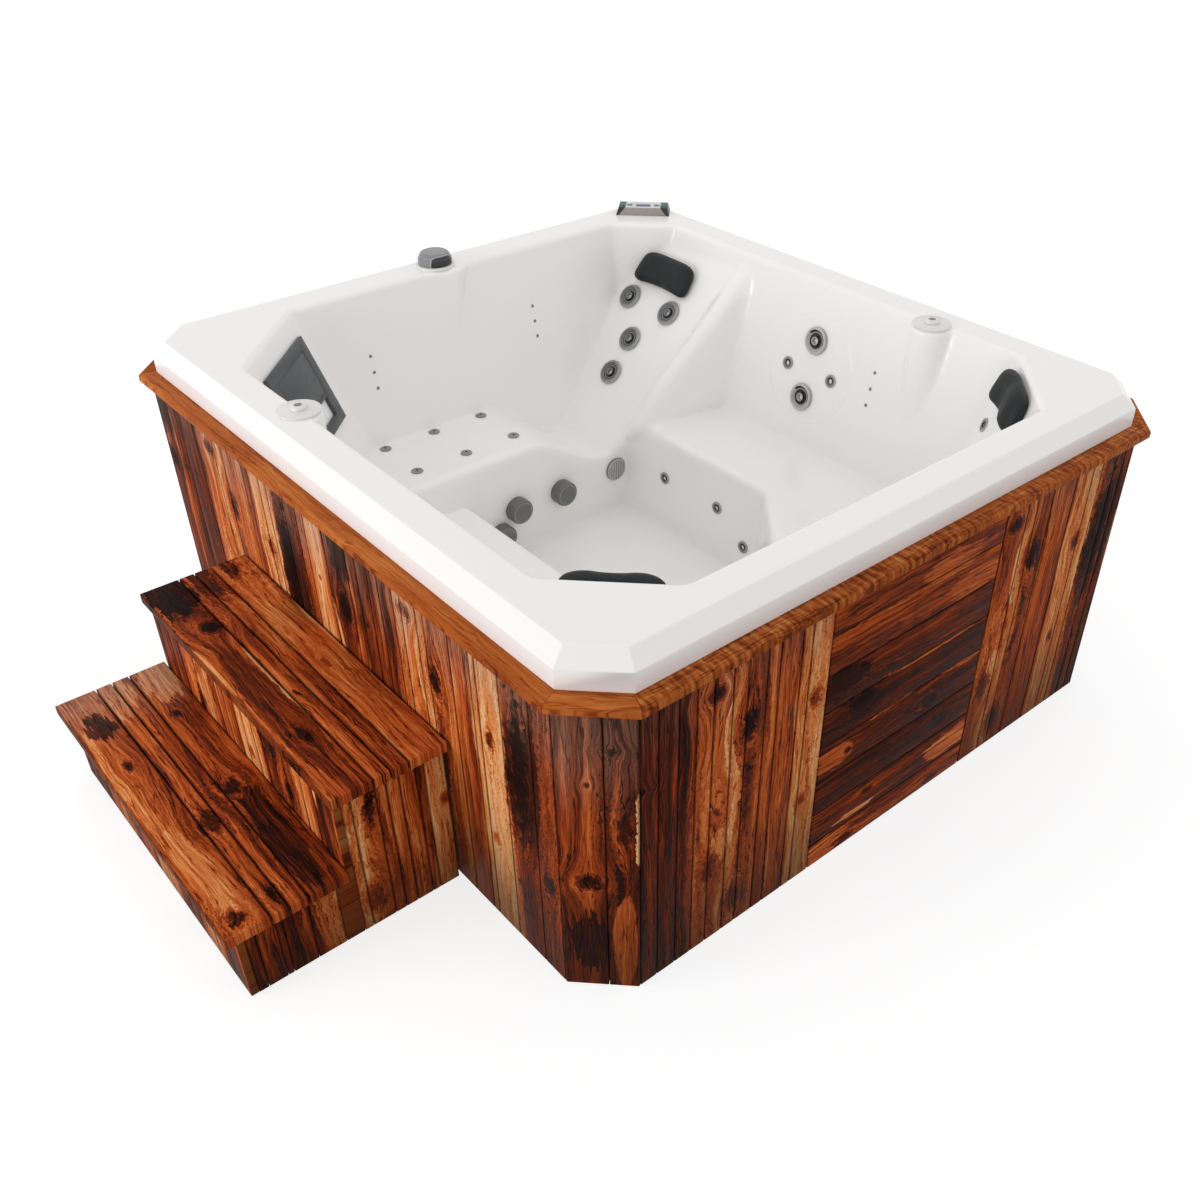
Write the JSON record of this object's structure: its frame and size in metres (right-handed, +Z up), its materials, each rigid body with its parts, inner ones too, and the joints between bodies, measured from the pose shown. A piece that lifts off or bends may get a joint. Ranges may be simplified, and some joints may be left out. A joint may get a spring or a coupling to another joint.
{
  "type": "hot tub",
  "caption": "Square timber-clad hot tub with cut corners, a moulded white shell with a lounger and bench seats, jets, rim controls, pillows and a two-tread step.",
  "frame": {"origin": "centre of the base pan's underside, on the floor", "axes": "+Z up; the steps stand on the -Y side, the access panel is on the +X side, and the lounger lies along the -X side with its head towards +Y"},
  "size_m": [2.1, 2.4865, 0.954],
  "materials": {
    "acrylic": "glossy cast acrylic, white",
    "cabinet_wood": "oiled red-brown softwood boards with knots and pale streaks",
    "panel_wood": "the same boards laid level",
    "tread_wood": "oiled red-brown boards, grain along the tread",
    "trim_wood": "oiled orange-brown hardwood with a rounded edge",
    "frame_wood": "sawn pale softwood",
    "pan_plastic": "moulded dark base pan",
    "white_plastic": "moulded white plastic",
    "grey_plastic": "moulded mid-grey plastic",
    "jet_grey": "satin grey jet fronts with a black nozzle",
    "body_plastic": "moulded pale plastic fittings",
    "pillow_skin": "charcoal moulded foam skin",
    "skimmer_plastic": "dark grey moulded plastic",
    "filter_media": "pleated white filter cloth",
    "lens": "ribbed frosted grey lens",
    "console_plastic": "grey and black moulded plastic",
    "screen": "dark blue display window",
    "key_rubber": "teal membrane keys",
    "black_plastic": "black moulded plastic",
    "motor_paint": "dark grey painted metal",
    "steel": "plain steel"
  },
  "bodies": {
    "tub": {"base_pan": "pan_plastic", "frame_rails": "frame_wood", "frame_posts": "frame_wood", "footwell_bearers": "frame_wood", "boards_steps_side": "cabinet_wood", "boards_lounger_side": "cabinet_wood", "boards_far_side": "cabinet_wood", "boards_panel_side": "cabinet_wood", "corner_boards": "cabinet_wood", "top_trim": "trim_wood", "acrylic_shell": "acrylic", "large_jet_bodies": "body_plastic", "small_jets": "jet_grey", "air_injectors": "grey_plastic", "light_points": "grey_plastic", "suction_bodies": "body_plastic", "suction_covers": "grey_plastic", "light_housing": "body_plastic", "light_lens": "lens", "skimmer_canister": "body_plastic", "skimmer_plate": "skimmer_plastic", "filter_cartridge": "filter_media", "diverter_body": "body_plastic", "diverter_ring": "white_plastic", "air_valve_bodies": "body_plastic", "air_valve_discs": "white_plastic", "topside_housing": "console_plastic", "topside_screen": "screen", "pillow_head": "pillow_skin", "pillow_right": "pillow_skin", "pillow_front": "pillow_skin", "pump_housing": "black_plastic", "pump_motor": "motor_paint", "pump_foot": "black_plastic", "heater_tube": "steel", "control_box": "motor_paint", "blower_housing": "black_plastic", "water_pipes": "body_plastic", "drain_valve": "body_plastic"},
    "steps": {"step_frame": "frame_wood", "step_sides_and_risers": "cabinet_wood", "step_treads": "tread_wood"},
    "access_panel": {"access_boards": "panel_wood", "access_battens": "frame_wood"},
    "diverter_handle": {"diverter_cap": "grey_plastic"},
    "air_control_steps_side": {"air_knob_steps_side": "grey_plastic"},
    "air_control_far_side": {"air_knob_far_side": "grey_plastic"},
    "weir": {"weir_flap": "skimmer_plastic"},
    "rotor": {"pump_rotor": "steel"},
    "fan": {"blower_fan": "steel"},
    "bezel_back_left": {"jet_bezel_back_left": "jet_grey"},
    "bezel_back_right": {"jet_bezel_back_right": "jet_grey"},
    "bezel_back_middle": {"jet_bezel_back_middle": "jet_grey"},
    "bezel_back_low": {"jet_bezel_back_low": "jet_grey"},
    "bezel_wall_high": {"jet_bezel_wall_high": "jet_grey"},
    "bezel_wall_low": {"jet_bezel_wall_low": "jet_grey"},
    "key_1": {"button_1": "key_rubber"},
    "key_2": {"button_2": "key_rubber"},
    "key_3": {"button_3": "key_rubber"},
    "key_4": {"button_4": "key_rubber"}
  },
  "joints": [
    {"name": "steps_slide", "type": "slide", "parent": "tub", "child": "steps", "axis": [0, -1, 0], "range_m": [0, 0.5]},
    {"name": "access_panel_pull", "type": "slide", "parent": "tub", "child": "access_panel", "axis": [1, 0, 0], "range_m": [0, 0.25]},
    {"name": "diverter_turn", "type": "hinge", "parent": "tub", "child": "diverter_handle", "pos_m": [-0.912, -0.012, 0.911], "axis": [0, 0, 1], "range_deg": [-90, 90]},
    {"name": "air_turn_steps_side", "type": "hinge", "parent": "tub", "child": "air_control_steps_side", "pos_m": [-0.276, -0.808, 0.911], "axis": [0, 0, 1], "range_deg": [0, 120]},
    {"name": "air_turn_far_side", "type": "hinge", "parent": "tub", "child": "air_control_far_side", "pos_m": [0.379, 0.786, 0.911], "axis": [0, 0, 1], "range_deg": [0, 120]},
    {"name": "bezel_back_left_turn", "type": "hinge", "parent": "tub", "child": "bezel_back_left", "pos_m": [-0.759, 0.64358, 0.69], "axis": [0, -0.749, 0.6626], "range_deg": [0, 135]},
    {"name": "bezel_back_right_turn", "type": "hinge", "parent": "tub", "child": "bezel_back_right", "pos_m": [-0.563, 0.64358, 0.69], "axis": [0, -0.749, 0.6626], "range_deg": [0, 135]},
    {"name": "bezel_back_middle_turn", "type": "hinge", "parent": "tub", "child": "bezel_back_middle", "pos_m": [-0.66, 0.55864, 0.594], "axis": [0, -0.749, 0.6626], "range_deg": [0, 135]},
    {"name": "bezel_back_low_turn", "type": "hinge", "parent": "tub", "child": "bezel_back_low", "pos_m": [-0.66, 0.4746, 0.499], "axis": [0, -0.749, 0.6626], "range_deg": [0, 135]},
    {"name": "bezel_wall_high_turn", "type": "hinge", "parent": "tub", "child": "bezel_wall_high", "pos_m": [-0.01, 0.75825, 0.744], "axis": [0, -0.9701, 0.2425], "range_deg": [0, 135]},
    {"name": "bezel_wall_low_turn", "type": "hinge", "parent": "tub", "child": "bezel_wall_low", "pos_m": [-0.014, 0.715, 0.571], "axis": [0, -0.9701, 0.2425], "range_deg": [0, 135]},
    {"name": "weir_swing", "type": "hinge", "parent": "tub", "child": "weir", "pos_m": [-0.66333, -0.58881, 0.63391], "axis": [0.7071, -0.7071, 0], "range_deg": [0, 70]},
    {"name": "rotor_spin", "type": "hinge", "parent": "tub", "child": "rotor", "pos_m": [0.69, -0.225, 0.133], "axis": [0, 1, 0], "continuous": true},
    {"name": "fan_spin", "type": "hinge", "parent": "tub", "child": "fan", "pos_m": [0.86, -0.18, 0.015], "axis": [0, 0, 1], "continuous": true},
    {"name": "key_1_press", "type": "slide", "parent": "tub", "child": "key_1", "axis": [0, 0, -1], "range_m": [0, 0.001], "stiffness_N_per_m": 800, "springref_m": -0.001},
    {"name": "key_2_press", "type": "slide", "parent": "tub", "child": "key_2", "axis": [0, 0, -1], "range_m": [0, 0.001], "stiffness_N_per_m": 800, "springref_m": -0.001},
    {"name": "key_3_press", "type": "slide", "parent": "tub", "child": "key_3", "axis": [0, 0, -1], "range_m": [0, 0.001], "stiffness_N_per_m": 800, "springref_m": -0.001},
    {"name": "key_4_press", "type": "slide", "parent": "tub", "child": "key_4", "axis": [0, 0, -1], "range_m": [0, 0.001], "stiffness_N_per_m": 800, "springref_m": -0.001}
  ]
}
